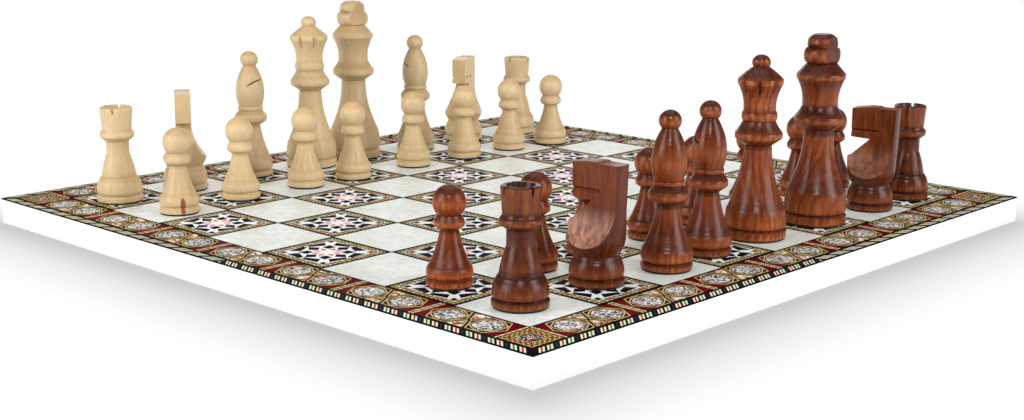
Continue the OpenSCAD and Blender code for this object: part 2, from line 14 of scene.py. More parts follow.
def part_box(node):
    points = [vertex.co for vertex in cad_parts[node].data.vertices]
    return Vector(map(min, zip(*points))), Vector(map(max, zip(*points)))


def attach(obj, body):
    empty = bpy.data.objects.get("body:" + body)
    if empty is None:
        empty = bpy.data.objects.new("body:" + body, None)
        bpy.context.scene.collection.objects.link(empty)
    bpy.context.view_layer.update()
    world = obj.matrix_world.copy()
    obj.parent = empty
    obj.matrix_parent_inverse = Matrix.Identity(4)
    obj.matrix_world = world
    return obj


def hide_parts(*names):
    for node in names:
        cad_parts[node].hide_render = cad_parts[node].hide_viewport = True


bl_info = {
    "name": "Mosaic chess set",
    "version": (1, 0, 0),
    "blender": (4, 5, 0),
    "location": "View3D > Sidebar > Chess",
    "description": "Inlays, lacquers and turned woods of a chess set, with a studio round it",
    "category": "Add Mesh",
}

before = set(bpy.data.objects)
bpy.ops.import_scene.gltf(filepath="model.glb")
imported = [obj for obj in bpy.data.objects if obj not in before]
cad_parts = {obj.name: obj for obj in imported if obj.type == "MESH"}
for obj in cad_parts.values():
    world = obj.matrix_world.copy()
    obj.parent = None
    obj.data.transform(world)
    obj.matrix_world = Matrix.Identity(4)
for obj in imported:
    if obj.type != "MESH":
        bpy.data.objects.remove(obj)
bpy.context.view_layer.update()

MM = 0.001
NEAR = 1e-7  # two saw cuts nearer than this are one
SAME_CORNER = 10 * NEAR  # corners nearer than this are merged
FLAT_ANGLE = 0.01  # faces that turn by less than this are one plane, in radians
RANKS = 8
QUARTER = math.pi / 2
STEEP = math.sqrt(3)  # rise of a medallion's slanted side
MEDALLION_SIDES = 6
FLAT_SHARE = math.cos(math.pi / MEDALLION_SIDES)  # of a medallion's radius, out to its flat sides
SIDES = ("front", "right", "back", "left")
MEN = [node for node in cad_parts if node.split("_")[0] in ("dark", "light") and node != "light_squares"]

# What the frame says about the board
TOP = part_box("black_lines")[1].z
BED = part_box("black_lines")[0].z
FIELD_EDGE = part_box("black_lines")[1].x
BAND_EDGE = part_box("corner_blocks")[1].x
BOARD_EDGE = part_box("edging_front")[1].x
LINE = FIELD_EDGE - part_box("light_squares")[1].x
SQUARE = (2 * FIELD_EDGE - LINE) / RANKS
BAND_MIDDLE = (FIELD_EDGE + BAND_EDGE) / 2
HALF_BAND = (BAND_EDGE - FIELD_EDGE) / 2
MEDALLION_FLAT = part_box("medallion_rings")[1].y - BAND_MIDDLE


# Sizes and colours that a user may change

def size(name, description, metres):
    """A length that a user may change"""
    return FloatProperty(
        name=name, description=description, default=metres, min=0, subtype="DISTANCE", unit="LENGTH"
    )


def tint(name, description, colour):
    """A colour that a user may change"""
    return FloatVectorProperty(
        name=name, description=description, default=colour, min=0, max=1, subtype="COLOR"
    )


def power(name, description, watts):
    """The power of a light, in watts"""
    return FloatProperty(name=name, description=description, default=watts, unit="POWER")


class ChessInlaySizes(bpy.types.PropertyGroup):
    """Sizes of the pieces of inlay"""

    panel: size("Panel", "Half side of the white panel in a mosaic square", 15.2 * MM)
    dash: size("Dash", "Length of one dash in a mosaic square's frame", 1.9 * MM)
    dash_gap: size("Dash gap", "Black gap between two dashes", 0.7 * MM)
    corner_panel: size("Corner panel", "Half side of the panel in a corner block", 4.1 * MM)
    corner_dash: size("Corner dash", "Length of one dash in a corner block", 0.95 * MM)
    corner_gap: size("Corner gap", "Black gap between two dashes of a corner block", 0.4 * MM)
    pairs: IntProperty(name="Pairs", description="Pairs of medallions along one side", default=7, min=1)
    tip_gap: size("Tip gap", "Gap between the tips of a pair of medallions", 2 * MM)
    outline: size("Outline", "Width of a medallion's gold outline", 0.5 * MM)
    diagonal: size("Diagonal", "Black line beside a medallion, inside its pair", 1.05 * MM)
    thread: size("Thread", "Thin line beyond that black line", 0.45 * MM)
    bar: size("Bar", "Width of one bar in the edging, along the edge", 1.03 * MM)
    bar_group: size("Bar group", "Length of edging in which the bars repeat", 11.2 * MM)
    bar_start: size("First bar", "From the corner to the first bar, on the outer edge", 3.2 * MM)


class ChessInlayColours(bpy.types.PropertyGroup):
    """Colours of the inlay woods, bones and shells"""

    bone: tint("Bone", "White pieces of the stars", (0.95, 0.95, 0.92))
    ivory: tint("Ivory", "White bars of the edging", (0.84, 0.8, 0.55))
    ebony: tint("Ebony", "Black pieces and lines", (0.004, 0.0055, 0.0095))
    rose: tint("Rose", "Deep petals of a star", (0.7, 0.05, 0.07))
    pink: tint("Pink", "Pale petals of a star", (0.85, 0.36, 0.36))
    gold: tint("Gold", "Gold dashes", (0.84, 0.6, 0.19))
    wheat: tint("Wheat", "Pale gold outlines", (0.72, 0.51, 0.21))
    orange: tint("Orange", "Orange dashes", (0.84, 0.3, 0.07))
    cream: tint("Cream", "Pale stripes and dashes", (0.92, 0.83, 0.6))
    garnet: tint("Garnet", "Dark red pieces of the border", (0.155, 0.002, 0.004))
    red: tint("Red", "Red bars", (0.46, 0.035, 0.02))
    green: tint("Green", "Green bars", (0.045, 0.26, 0.05))
    slate: tint("Slate", "Blue-grey bars", (0.016, 0.03, 0.04))
    brown: tint("Brown", "Brown dashes of the corner blocks", (0.26, 0.11, 0.03))
    pearl: tint("Pearl", "Plain shell squares", (0.815, 0.83, 0.78))
    silver: tint("Silver", "Fine mosaic in the medallions", (0.74, 0.73, 0.7))


class ChessWoods(bpy.types.PropertyGroup):
    """Woods and lacquers of the men and of the board's edges"""

    dark_deep: tint("Dark, deep", "Darkest streaks of the red-brown wood", (0.25, 0.046, 0.011))
    dark_body: tint("Dark, body", "Main tone of the red-brown wood", (0.42, 0.1, 0.025))
    dark_flame: tint("Dark, flame", "Lightest figure of the red-brown wood", (0.64, 0.21, 0.05))
    dark_bare: tint("Dark, bare", "Sanded hollow of a dark knight", (0.5, 0.225, 0.145))
    light_deep: tint("Light, deep", "Streaks of the cream wood", (0.7, 0.52, 0.295))
    light_body: tint("Light, body", "Main tone of the cream wood", (0.74, 0.56, 0.325))
    light_flame: tint("Light, flame", "Palest figure of the cream wood", (0.78, 0.62, 0.39))
    light_bare: tint("Light, bare", "Sanded hollow of a light knight", (0.76, 0.57, 0.34))
    lacquer: tint("White lacquer", "The board's plain edges", (0.95, 0.95, 0.95))
    felt: tint("Felt", "Discs under the men", (0.008, 0.008, 0.009))
    ring: size("Ring", "Width of one year's growth in the wood", 2.6 * MM)
    felt_top: size("Felt top", "Height above the board up to which a man is felt", 0.77 * MM)
    knight_foot: size("Knight's foot", "Height above the board up to which a knight is turned", 12.9 * MM)
    edge_round: size("Edge round", "Rounding of the rim's outer edges", 0.4 * MM)
    rim_w: size("Rim width", "Width of the white rim round the core", 8 * MM)


class ChessStudio(bpy.types.PropertyGroup):
    """Camera and lights"""

    camera_at: FloatVectorProperty(
        name="Camera", description="Place of the camera",
        default=(-0.5616, -0.532, 0.1805), subtype="TRANSLATION",
    )
    camera_to: FloatVectorProperty(
        name="Aim", description="Direction that the camera looks in",
        default=(0.7076, 0.6716, -0.2196), subtype="XYZ",
    )
    roll: FloatProperty(
        name="Roll", description="Turn about the view axis", default=math.radians(0.24), subtype="ANGLE"
    )
    lens: FloatProperty(
        name="Lens", description="Focal length on a 36 mm sensor", default=54.33, unit="CAMERA"
    )
    over: power("Over", "Power of the overhead softbox in watts", 5.6)
    side: power("Side", "Power of each side softbox in watts", 13)
    front: power("Front", "Power of the small front light in watts", 6)
    back: power("Back", "Power of the low light behind in watts", 2.5)
    ambient: FloatProperty(name="Ambient", description="Brightness of the studio's walls", default=0.25)
    paper: FloatProperty(name="Paper", description="Light of the lit paper under the board", default=0.97)
    shade: FloatProperty(name="Shade", description="Light left beside the board's edges", default=0.59)
    shade_reach: size("Shade reach", "How far that shade runs out from the board", 80 * MM)


SETTINGS = {
    "chess_inlay": ChessInlaySizes,
    "chess_inlay_colours": ChessInlayColours,
    "chess_woods": ChessWoods,
    "chess_studio": ChessStudio,
}

# How dark each kind of man came out of the stain, beside a pawn
STAINS = {
    "dark": {"rook": 0.52, "knight": 0.6, "bishop": 0.78, "queen": 0.92, "king": 0.72, "pawn": 1},
    "light": {"rook": 0.95, "knight": 0.92, "bishop": 0.86, "queen": 0.92, "king": 0.84, "pawn": 0.97},
}
# How much of the year rings shows in each kind of man
FIGURES = {"queen": 0.2, "king": 0.16}
PLAIN_FIGURE = 0.1

# Stain and painted shade taken, as (share, tint): the dark men darken much in their grooves and on faces
# that look up, the light men hardly at all
STAINED_AND_SHADED = {
    "dark": [
        (0.0, (1, 1, 1)), (0.14, (0.74, 0.64, 0.6)), (0.5, (0.42, 0.31, 0.28)), (1.0, (0.2, 0.14, 0.12))
    ],
    "light": [(0.0, (1, 1, 1)), (0.5, (0.96, 0.93, 0.88)), (1.0, (0.84, 0.75, 0.62))],
}
# Deepest shade of the cloudy patches, and of the pores
CLOUDS = {"dark": 0.78, "light": 0.95}
PORES = {"dark": 0.66, "light": 0.9}
# Tone of the scratches that the sanding drum left
SCRATCHES = {"dark": 0.36, "light": 0.84}

LOG_LEAN = 7  # degrees that a log may lean each way
PITH_AWAY = 30 * MM  # from a man's axis to the middle of its log
FIBRE_STRETCH = 16  # length of a fibre beside its width
RIDGE_PITCH = 0.9 * MM  # between the fine ridges that turning left
RIDGE_SHARE = 0.07  # of those ridges in the relief of the wood
SANDED_ROUGHNESS = 0.45
KNOT_SIZE = (1.5 * MM, 1.5 * MM, 6 * MM)


# Materials

def new_material(name, **sockets):
    """A material with one Principled shader, as (material, node tree, shader)"""
    material = bpy.data.materials.new(name)
    material.use_nodes = True
    tree = material.node_tree
    tree.nodes.clear()
    shader = add(tree, "BsdfPrincipled", **sockets)
    add(tree, "OutputMaterial", Surface=shader.outputs["BSDF"])
    return material, tree, shader


def add(tree, kind, settings=None, **sockets):
    """A node with its settings and sockets set, each socket to a value or from another node's output"""
    made = tree.nodes.new("ShaderNode" + kind)
    for name, value in (settings or {}).items():
        setattr(made, name, value)
    for name, value in sockets.items():
        socket = made.inputs[int(name[1:]) if name[0] == "_" else name.replace("_", " ")]
        if isinstance(value, bpy.types.NodeSocket):
            tree.links.new(value, socket)
        else:
            socket.default_value = value
    return made


def ramp(tree, factor, *stops, stepped=False):
    """A colour ramp's colour output; each stop is (position, colour)"""
    made = add(tree, "ValToRGB", Fac=factor)
    band = made.color_ramp
    if stepped:
        band.interpolation = "CONSTANT"
    while len(band.elements) < len(stops):
        band.elements.new(0.5)
    for element, (position, colour) in zip(band.elements, stops):
        element.position = position
        element.color = (*colour, 1)
    return made.outputs["Color"]


def grey(value):
    return (value, value, value)


def scaled(colour, share):
    return tuple(min(1, channel * share) for channel in colour)


def spot(tree, settings=None, **sockets):
    """The place on the piece, through a mapping if one is asked for"""
    place = add(tree, "TexCoord").outputs["Object"]
    if not sockets:
        return place
    return add(tree, "Mapping", settings, Vector=place, **sockets).outputs["Vector"]


def noise(tree, scale, detail, place=None, **sockets):
    """Soft noise, by the place on the piece unless another is given"""
    if place is None:
        place = spot(tree)
    return add(tree, "TexNoise", Vector=place, Scale=scale, Detail=detail, **sockets).outputs["Fac"]


def drawn(tree, cells):
    """Outputs Red and Green, each a random number for one cell of a Voronoi node"""
    return add(tree, "SeparateColor", Color=cells.outputs["Color"]).outputs


def waves(apart):
    """Scale of a wave texture whose bands are that far apart"""
    return math.pi / 10 / apart


def vector_maths(tree, operation, first, second=None):
    """The outputs of a vector maths node"""
    made = add(tree, "VectorMath", {"operation": operation}, _0=first)
    if second is not None:
        made.inputs[1].default_value = second
    return made.outputs


def multiplied(tree, colour, *others):
    blend = {"data_type": "RGBA", "blend_type": "MULTIPLY"}
    for other in others:
        colour = add(tree, "Mix", blend, _0=1.0, _6=colour, _7=other).outputs[2]
    return colour


def blended(tree, share, colour, other):
    return add(tree, "Mix", {"data_type": "RGBA"}, _0=share, _6=colour, _7=other).outputs[2]


def averaged(tree, share, value, other):
    return add(tree, "Mix", {"data_type": "FLOAT"}, _0=share, _2=value, _3=other).outputs[0]


def paint(tree, shader, colour):
    """Gives a shader its colour"""
    tree.links.new(colour, shader.inputs["Base Color"])


def raised(tree, shader, height, strength, metres):
    """Gives a shader a bump"""
    bump = add(tree, "Bump", Height=height, Strength=strength, Distance=metres)
    tree.links.new(bump.outputs["Normal"], shader.inputs["Normal"])


def veneer(name, colour, contrast=0.12):
    """A lacquered inlay wood or bone, with fine figure and a slight change from piece to piece"""
    material, tree, shader = new_material(name, Roughness=0.5, Specular_IOR_Level=0.01)
    fine = noise(tree, 900.0, 3.0)
    broad = noise(tree, 60.0, 1.0)
    body = ramp(tree, fine, (0.3, scaled(colour, 1 - contrast)), (0.7, scaled(colour, 1 + contrast)))
    cast = ramp(tree, broad, (0.35, grey(0.92)), (0.65, grey(1.0)))
    paint(tree, shader, multiplied(tree, body, cast))
    raised(tree, shader, fine, 0.06, 0.05 * MM)
    return material


def silver_mosaic(name, colour):
    """The fine mosaic in a medallion: silver and white grains with dark and coloured ones among them"""
    material, tree, shader = new_material(name, Roughness=0.45, Specular_IOR_Level=0.05)
    grains = add(tree, "TexVoronoi", Vector=spot(tree), Scale=1350.0)
    lot = drawn(tree, grains)
    body = ramp(
        tree, lot["Red"],
        (0.0, (0.02, 0.025, 0.035)), (0.3, scaled(colour, 0.3)), (0.44, scaled(colour, 0.7)),
        (0.62, colour), (0.82, (0.95, 0.95, 0.93)), stepped=True,
    )
    specks = ramp(
        tree, lot["Green"],
        (0.0, (0.85, 0.3, 0.25)), (0.08, grey(1.0)), (0.93, (0.5, 0.75, 0.7)), stepped=True,
    )
    paint(tree, shader, multiplied(tree, body, specks))
    return material


def flecked_wood(cream, pink, orange, brown):
    """Small leaf-shaped flecks of cream, pink, orange and brown, in the triangles of the border"""
    material, tree, shader = new_material("flecked", Roughness=0.5, Specular_IOR_Level=0.03)
    long_and_slanted = spot(tree, Rotation=(0, 0, QUARTER / 2), Scale=(1, 0.45, 1))
    leaves = add(tree, "TexVoronoi", Vector=long_and_slanted, Scale=1150.0)
    body = ramp(
        tree, drawn(tree, leaves)["Red"],
        (0.0, cream), (0.26, pink), (0.36, (0.9, 0.86, 0.78)), (0.48, orange), (0.6, brown),
        (0.8, (0.06, 0.03, 0.03)), stepped=True,
    )
    paint(tree, shader, body)
    return material


def pearl_shell(colour):
    """Mother-of-pearl: soft patches of cream, grey and green with a fine cloud in them"""
    material, tree, shader = new_material("pearl_shell", Roughness=0.36, Specular_IOR_Level=0.14)
    soft = {"feature": "SMOOTH_F1"}
    patches = add(tree, "TexVoronoi", soft, Vector=spot(tree), Scale=150.0, Smoothness=0.6)
    cloud = noise(tree, 240.0, 4.0, Roughness=0.6, Distortion=1.2)
    body = ramp(
        tree, drawn(tree, patches)["Red"],
        (0.1, scaled(colour, 0.95)), (0.45, colour), (0.7, (colour[0] * 0.97, colour[1], colour[2] * 1.01)),
        (0.95, scaled(colour, 1.06)),
    )
    veil = ramp(tree, cloud, (0.36, (0.84, 0.87, 0.85)), (0.54, grey(1.0)))
    paint(tree, shader, multiplied(tree, body, veil))
    return material


def white_lacquer(colour):
    """Sprayed white lacquer with a faint orange peel"""
    material, tree, shader = new_material("white_lacquer", Roughness=0.38, Specular_IOR_Level=0.3)
    peel = noise(tree, 420.0, 2.0)
    paint(tree, shader, ramp(tree, peel, (0.3, scaled(colour, 0.985)), (0.7, colour)))
    raised(tree, shader, peel, 0.05, 0.1 * MM)
    return material


def raw_board():
    """Pressed fibre board inside the rim"""
    material, tree, shader = new_material("raw_board", Roughness=0.9)
    fibre = noise(tree, 700.0, 5.0)
    paint(tree, shader, ramp(tree, fibre, (0.3, (0.3, 0.2, 0.11)), (0.7, (0.5, 0.37, 0.23))))
    return material


def backing_paper():
    """Dark embossed paper under the board"""
    material, tree, shader = new_material("backing_paper", Roughness=0.7)
    emboss = add(tree, "TexVoronoi", Vector=spot(tree), Scale=900.0).outputs["Distance"]
    paint(tree, shader, ramp(tree, emboss, (0.0, grey(0.012)), (0.8, grey(0.035))))
    raised(tree, shader, emboss, 0.4, 0.1 * MM)
    return material


def felt(colour):
    """Black felt, with a short nap"""
    material, tree, shader = new_material("felt", Roughness=0.95, Sheen_Weight=0.2)
    nap = noise(tree, 3500.0, 3.0)
    paint(tree, shader, ramp(tree, nap, (0.3, scaled(colour, 0.6)), (0.7, scaled(colour, 2.2))))
    raised(tree, shader, nap, 0.6, 0.15 * MM)
    return material


SHADE_SHIFT = 4 * MM  # the painted shadow lies this far towards the camera
SHADE_STOPS = (0.0, 0.1, 0.25, 0.5, 0.75, 1.0)  # shares of its reach at which its tone is worked out
SHADE_POWER = 2.5  # how fast it fades
PAPER_SUM = 1.04  # the paper's own light and its share of reflected light, together
PAPER_TOOTH = 0.99  # tone of the fine hollows in it


def studio_paper(light, shade, reach):
    """Evenly lit paper, with a painted shadow round the board that fades out over the reach"""
    material, tree, shader = new_material(
        "studio_paper", Roughness=0.9, Specular_IOR_Level=0.0, Emission_Strength=1.0
    )
    place = spot(tree, Location=(SHADE_SHIFT, SHADE_SHIFT, 0))
    out = vector_maths(tree, "ABSOLUTE", place)["Vector"]
    past = vector_maths(tree, "SUBTRACT", out, (BOARD_EDGE, BOARD_EDGE, 0))["Vector"]
    beyond = vector_maths(tree, "MAXIMUM", past, (0, 0, 0))["Vector"]
    away = vector_maths(tree, "LENGTH", beyond)["Value"]
    share = add(tree, "MapRange", Value=away, From_Min=0.0, From_Max=reach).outputs["Result"]
    tooth = noise(tree, 900.0, 2.0)
    # Painted shadow: the paper's colour and glow are darker near the board, fading out over the reach
    fall = [(at, grey(1 - (1 - shade) * (1 - at) ** SHADE_POWER)) for at in SHADE_STOPS]
    painted_shadow = ramp(tree, share, *fall)
    glow = multiplied(tree, ramp(tree, tooth, (0.3, grey(light * PAPER_TOOTH)), (0.7, grey(light))), painted_shadow)
    tree.links.new(glow, shader.inputs["Emission Color"])
    paint(tree, shader, multiplied(tree, painted_shadow, (*grey(PAPER_SUM - light), 1)))
    return material


def turned_wood(name, colour, tones, ring, figure, axis, dice, gloss, bare=None, knot=None):
    """Stained and lacquered wood on a turned man. The log stands upright beside the man's axis, leaning a
    little, so that its rings show as soft flames. Stain and painted shade darken the hollows and the faces
    that look up, and painted bounce light keeps the undersides of the hollows lighter. A sanded face shows
    the bare wood, and a knot is a red-brown spot at a place."""
    material, tree, shader = new_material(name, Roughness=gloss, Specular_IOR_Level=0.27)
    deep, body, flame = tones
    sideways = math.radians(dice.uniform(-LOG_LEAN, LOG_LEAN))
    forwards = math.radians(dice.uniform(-LOG_LEAN, LOG_LEAN))
    lean = (sideways, forwards, dice.uniform(0, 2 * math.pi))
    pith = Vector(axis) + Matrix.Rotation(lean[2], 3, "Z") @ Vector((PITH_AWAY, 0, 0))
    placed = {"vector_type": "TEXTURE"}
    log = spot(tree, placed, Location=(pith.x, pith.y, dice.uniform(0, 1)), Rotation=lean)
    fibre = spot(tree, placed, Location=(pith.x, pith.y, 0), Rotation=lean, Scale=(1, 1, FIBRE_STRETCH))
    rings = add(
        tree, "TexWave", {"wave_type": "RINGS", "rings_direction": "Z"}, Vector=log, Scale=waves(ring),
        Distortion=5.0, Detail=3.0, Detail_Scale=0.7, Detail_Roughness=0.6,
    ).outputs["Fac"]
    streaks = noise(tree, 520.0, 5.0, fibre, Roughness=0.62)
    pores = noise(tree, 2100.0, 2.0, fibre)
    cloud = noise(tree, 70.0, 2.0, log)

    base = ramp(tree, averaged(tree, figure, streaks, rings), (0.26, deep), (0.5, body), (0.76, flame))
    patches = ramp(tree, cloud, (0.32, grey(CLOUDS[colour])), (0.62, grey(1.0)))
    flecks = ramp(tree, pores, (0.28, grey(PORES[colour])), (0.37, grey(1.0)))
    # Stain and painted shade, stored on each corner: darker grooves, upward faces and a knight's rounded
    # faces
    stain = add(tree, "Attribute", {"attribute_name": "stain"}).outputs["Fac"]
    taken = ramp(tree, stain, *STAINED_AND_SHADED[colour])
    coloured = multiplied(tree, base, patches, flecks, taken)
    shine = ramp(tree, cloud, (0.3, grey(gloss * 0.8)), (0.7, grey(gloss * 1.35)))
    if bare:
        sanded = add(tree, "Attribute", {"attribute_name": "sanded"}).outputs["Fac"]
        scratches = ramp(tree, streaks, (0.36, scaled(bare, SCRATCHES[colour])), (0.6, bare))
        coloured = blended(tree, sanded, coloured, multiplied(tree, scratches, patches))
        shine = blended(tree, sanded, shine, (*grey(SANDED_ROUGHNESS), 1))
    if knot:
        round_it = spot(tree, placed, Location=knot, Scale=KNOT_SIZE)
        heart = add(tree, "TexGradient", {"gradient_type": "SPHERICAL"}, Vector=round_it).outputs["Fac"]
        coloured = multiplied(tree, coloured, ramp(tree, heart, (0.0, grey(1.0)), (0.3, (0.5, 0.2, 0.12))))
    paint(tree, shader, coloured)
    tree.links.new(shine, shader.inputs["Roughness"])

    ridges = add(
        tree, "TexWave", {"wave_type": "BANDS", "bands_direction": "Z"}, Vector=spot(tree),
        Scale=waves(RIDGE_PITCH), Distortion=2.0, Detail=1.0, Detail_Scale=0.3,
    ).outputs["Fac"]
    worn = averaged(tree, 0.5, streaks, noise(tree, 330.0, 2.0))
    raised(tree, shader, averaged(tree, RIDGE_SHARE, worn, ridges), 0.5, 0.4 * MM)
    return material


# Working on a piece

def select_none():
    bpy.ops.object.select_all(action="DESELECT")


def only(piece):
    """Leaves one object selected and active"""
    select_none()
    piece.select_set(True)
    bpy.context.view_layer.objects.active = piece


@contextmanager
def editing(piece):
    """Edit mode on one piece, picking faces, with all of them selected"""
    only(piece)
    bpy.ops.object.mode_set(mode="EDIT")
    bpy.context.tool_settings.mesh_select_mode = (False, False, True)
    bpy.ops.mesh.select_all(action="SELECT")
    yield
    bpy.ops.object.mode_set(mode="OBJECT")


def pick(piece, test):
    """Selects the faces that pass a test, and says how many do"""
    mesh = bmesh.from_edit_mesh(piece.data)
    chosen = [face for face in mesh.faces if test(face)]
    for face in mesh.faces:
        face.select_set(False)
    for face in chosen:
        face.select_set(True)
    bmesh.update_edit_mesh(piece.data)
    return len(chosen)


def pick_all(piece):
    """Selects every face"""
    pick(piece, bool)


def pick_largest(piece):
    """Selects the largest face"""
    mesh = bmesh.from_edit_mesh(piece.data)
    largest = max(face.calc_area() for face in mesh.faces)
    pick(piece, lambda face: face.calc_area() == largest)


def within(edges, place):
    """True where a place is on the left of every edge"""
    return all((b - a).cross(place - a) > 0 for a, b in edges)


def inside(edges):
    """A test for faces whose middle is on the left of every edge"""
    def test(face):
        return within(edges, face.calc_center_median().xy)
    return test


def saw(a, b, drop_right=False):
    """Saws the selected faces upright along the line from a to b"""
    along = b - a
    bpy.ops.mesh.bisect(
        plane_co=(a.x, a.y, TOP), plane_no=(along.y, -along.x, 0), clear_outer=drop_right, threshold=NEAR
    )


def give(piece, wood):
    """Gives the selected faces one of the piece's materials, by name"""
    piece.active_material_index = piece.data.materials.find(wood)
    bpy.ops.object.material_slot_assign()


def let_in(piece, outline, wood):
    """Saws an outline without hollows, given anticlockwise, out of a sheet and lets in another wood"""
    corners = [Vector(corner) for corner in outline]
    sawn = []
    for a, b in zip(corners, corners[1:] + corners[:1]):
        if pick(piece, inside(sawn)):
            saw(a, b)
        sawn.append((a, b))
    if pick(piece, inside(sawn)):
        give(piece, wood)


def sheet(name, low, high, woods_used):
    """A thin sheet at the board's surface, from one corner to the other, with its materials"""
    middle = (low + high) / 2
    select_none()
    bpy.ops.mesh.primitive_plane_add(size=1, location=(middle.x, middle.y, TOP))
    piece = bpy.context.object
    piece.name = piece.data.name = name
    piece.scale = (high.x - low.x, high.y - low.y, 1)
    bpy.ops.object.transform_apply()
    for wood in woods_used:
        piece.data.materials.append(wood)
    return piece


def copied(piece, place):
    """A copy with a mesh of its own, put at its place by a matrix"""
    only(piece)
    bpy.ops.object.duplicate()
    copy = bpy.context.object
    copy.matrix_world = place
    bpy.ops.object.transform_apply()
    return copy


def moved(x, y, turn=0.0):
    return Matrix.Translation((x, y, 0)) @ Matrix.Rotation(turn, 4, "Z")


def joined(pieces, name):
    """Joins pieces into one"""
    select_none()
    for piece in pieces:
        piece.select_set(True)
    bpy.context.view_layer.objects.active = pieces[0]
    bpy.ops.object.join()
    whole = bpy.context.object
    whole.name = whole.data.name = name
    return whole


def faces_down(face):
    return face.normal.z < 0


def tidied(piece):
    """Merges a sheet's doubled corners and the faces of one wood, and turns every face up"""
    with editing(piece):
        bpy.ops.mesh.remove_doubles(threshold=SAME_CORNER)
        bpy.ops.mesh.dissolve_limited(angle_limit=FLAT_ANGLE, delimit={"MATERIAL"})
        if pick(piece, faces_down):
            bpy.ops.mesh.flip_normals()
    return piece


def thickened(piece, depth=TOP - BED):
    """Gives a sheet its depth, downwards from the surface"""
    only(piece)
    wall = piece.modifiers.new("depth", "SOLIDIFY")
    wall.thickness = depth
    wall.offset = -1
    bpy.ops.object.modifier_apply(modifier=wall.name)
    return piece


def laid(piece, slot, *nodes):
    """Sets a finished piece of the board in the place of its nodes"""
    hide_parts(*nodes)
    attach(piece, "board")


def inlaid(pieces, name, slot, *nodes):
    """Joins sheets into one piece, gives it its depth and sets it in the place of its nodes"""
    laid(thickened(joined(pieces, name)), slot, *nodes)


def dress(node, material):
    """Gives a node that keeps its own shape its material"""
    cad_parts[node].material_slots[0].material = material


def inlay_wood(name):
    """The inlay material of that name, made once"""
    made = bpy.data.materials.get(name)
    if made:
        return made
    maker = silver_mosaic if name == "silver" else veneer
    return maker(name, getattr(bpy.context.scene.chess_inlay_colours, name))


def woods(*names):
    return [inlay_wood(name) for name in names]


# Inlay patterns

def polar(radius, degrees, scale=1.0):
    turn = math.radians(degrees)
    return Vector((radius * scale * math.cos(turn), radius * scale * math.sin(turn)))


def point(x, y, scale=1.0):
    return Vector((x * scale, y * scale))


def upright(low, high, bottom, top):
    """An upright rectangle's corners, from low to high along x"""
    return [(low, bottom), (high, bottom), (high, top), (low, top)]


PAST_EDGE = 1 * MM  # how far an outline runs past the edge of its sheet
DRAWN_FOR = 15.2  # half side of the panel that the rosette is drawn for


def rosette(half):
    """One eighth of an eight-pointed star, as outlines with their woods, for a panel of that half side: two
    petals, the black arrows round them, and the black pieces at the panel's edge and corner"""
    u = half / DRAWN_FOR
    return [
        ([polar(2.8, 22.5, u), polar(5.6, 7, u), polar(7.3, 22.5, u)], "rose"),
        ([polar(2.8, 22.5, u), polar(7.3, 22.5, u), polar(5.6, 38, u)], "pink"),
        ([polar(6.0, 0, u), polar(9.3, -19, u), polar(12.9, 0, u), polar(9.3, 19, u)], "ebony"),
        ([polar(6.0, 45, u), polar(9.3, 26, u), polar(12.9, 45, u), polar(9.3, 64, u)], "ebony"),
        ([point(12.9, 0.4, u), point(DRAWN_FOR, 1.1, u), point(14.2, 10.4, u), point(9.7, 7.3, u)], "ebony"),
        ([point(12.0, 12.0, u), point(14.6, 12.2, u), point(15.0, 15.0, u), point(12.2, 14.6, u)], "ebony"),
    ]


def past_diagonal(face):
    middle = face.calc_center_median()
    return middle.y > middle.x


def star_block(name, half, panel, ground, rows, dash, gap):
    """A square sheet of inlay: a star in a panel, inside rows of dashes. One eighth of it is sawn, and the
    rest are its copies. A row is (start outside the panel, width, woods that its dashes take in turn)."""
    used = sorted({wood for row in rows for wood in row[2]} | {ground, "rose", "pink"})
    piece = sheet(name, point(0, 0), point(half, half), woods("ebony", *used))
    with editing(piece):
        saw(point(half, half), point(0, 0))
        pick(piece, past_diagonal)
        bpy.ops.mesh.delete(type="FACE")
        let_in(piece, upright(0, panel, -PAST_EDGE, half), ground)
        for outline, wood in rosette(panel):
            let_in(piece, outline, wood)
        for start, width, colours in rows:
            for i in range(math.ceil(half / (dash + gap)) + 1):
                low = i * (dash + gap) - dash / 2
                outline = upright(panel + start, panel + start + width, low, low + dash)
                let_in(piece, outline, colours[i % len(colours)])
    eighths = [piece]
    for turn in range(4):
        for flip in (1, -1):
            if (turn, flip) != (0, 1):
                place = moved(0, 0, turn * QUARTER) @ Matrix.Diagonal((1, flip, 1, 1))
                eighths.append(copied(piece, place))
    return tidied(joined(eighths, name))


# Rows of dashes round the panel of a square, from the inside out
SQUARE_ROWS = [
    (0.45 * MM, 1.0 * MM, ("orange", "gold", "cream", "gold")),
    (2.2 * MM, 0.9 * MM, ("gold", "gold", "cream")),
]


class CHESS_OT_mosaic_squares(bpy.types.Operator):
    """Inlay the patterned squares"""

    bl_idname = "chess.mosaic_squares"
    bl_label = "Mosaic squares"

    def execute(self, context):
        sizes = context.scene.chess_inlay
        half = SQUARE / 2 - LINE / 2
        tile = star_block(
            "mosaic_squares", half, sizes.panel, "bone", SQUARE_ROWS, sizes.dash, sizes.dash_gap
        )
        places = [
            ((file + 0.5 - RANKS / 2) * SQUARE, (rank + 0.5 - RANKS / 2) * SQUARE)
            for rank in range(RANKS) for file in range(RANKS) if (rank + file) % 2
        ]
        tiles = [copied(tile, moved(*place)) for place in places]
        bpy.data.objects.remove(tile)
        nodes = ("mosaic_panels", "square_frames", "star_inlays", "star_lozenges")
        inlaid(tiles, "mosaic_squares", "mosaic_veneer", *nodes)
        return {"FINISHED"}


class CHESS_OT_plain_squares(bpy.types.Operator):
    """Finish the shell squares and the black lines"""

    bl_idname = "chess.plain_squares"
    bl_label = "Shell squares and lines"

    def execute(self, context):
        dress("light_squares", pearl_shell(context.scene.chess_inlay_colours.pearl))
        dress("black_lines", woods("ebony")[0])
        return {"FINISHED"}


